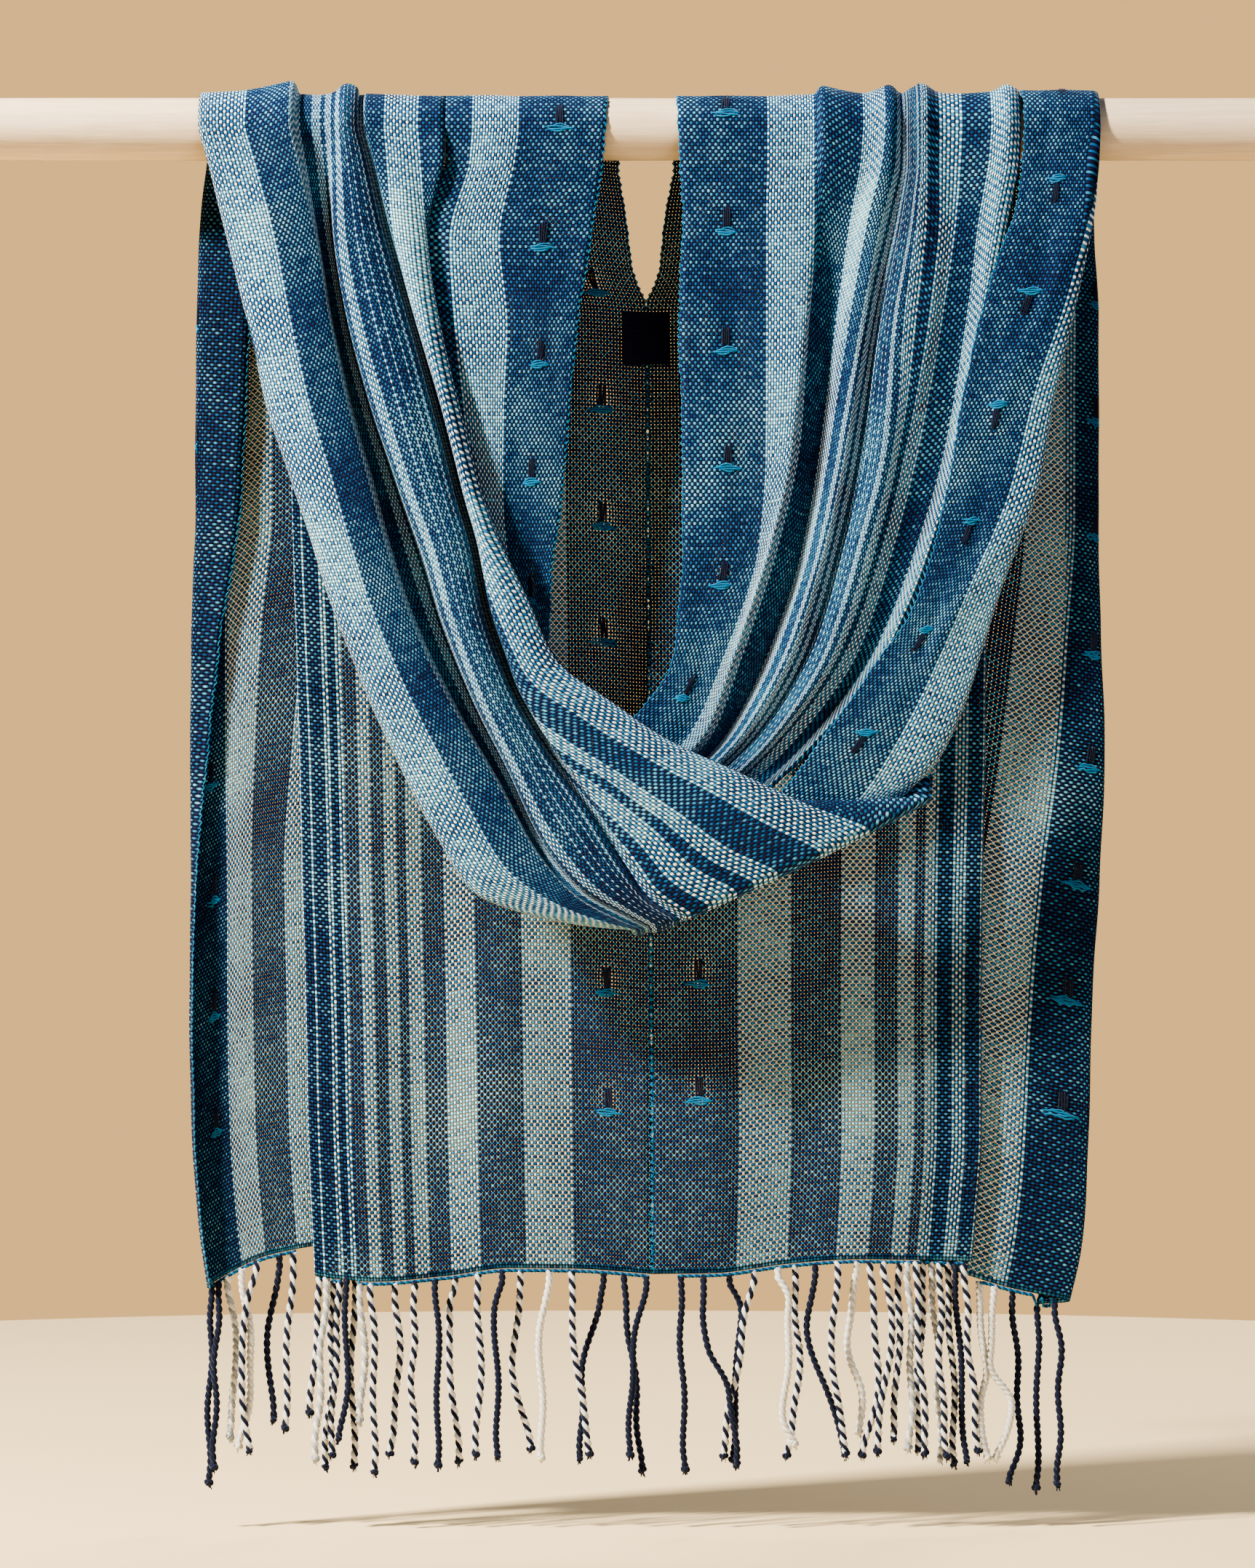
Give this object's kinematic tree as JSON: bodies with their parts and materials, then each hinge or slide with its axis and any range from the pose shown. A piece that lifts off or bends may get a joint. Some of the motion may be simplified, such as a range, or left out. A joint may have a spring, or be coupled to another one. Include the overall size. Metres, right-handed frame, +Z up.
{
  "type": "rebozo shawl on a wooden rod",
  "caption": "Long woven ikat shawl of two panels sewn at the back, draped over a round wooden rod with a crossed front swag and a twisted, knotted fringe.",
  "frame": {"origin": "middle of the rod's axis, where the rod is held", "axes": "+X along the rod, +Y away from the front, +Z up"},
  "size_m": [1.06, 0.1062, 1.1377],
  "materials": {
    "cloth": "plain woven cotton with blue and white warp stripes",
    "fringe": "twisted two-ply cotton cords, knotted at the ends",
    "label": "ribbed navy tape, bare",
    "rod": "sanded pale pine, unvarnished"
  },
  "bodies": {
    "root": {"rod": "rod", "left_swag": "cloth", "left_edge": "cloth", "right_arm": "cloth", "right_front": "cloth", "back_left": "cloth", "back_right": "cloth", "label": "label", "fringe_left_outer": "fringe", "fringe_left": "fringe", "fringe_right": "fringe", "fringe_right_outer": "fringe"}
  },
  "joints": []
}
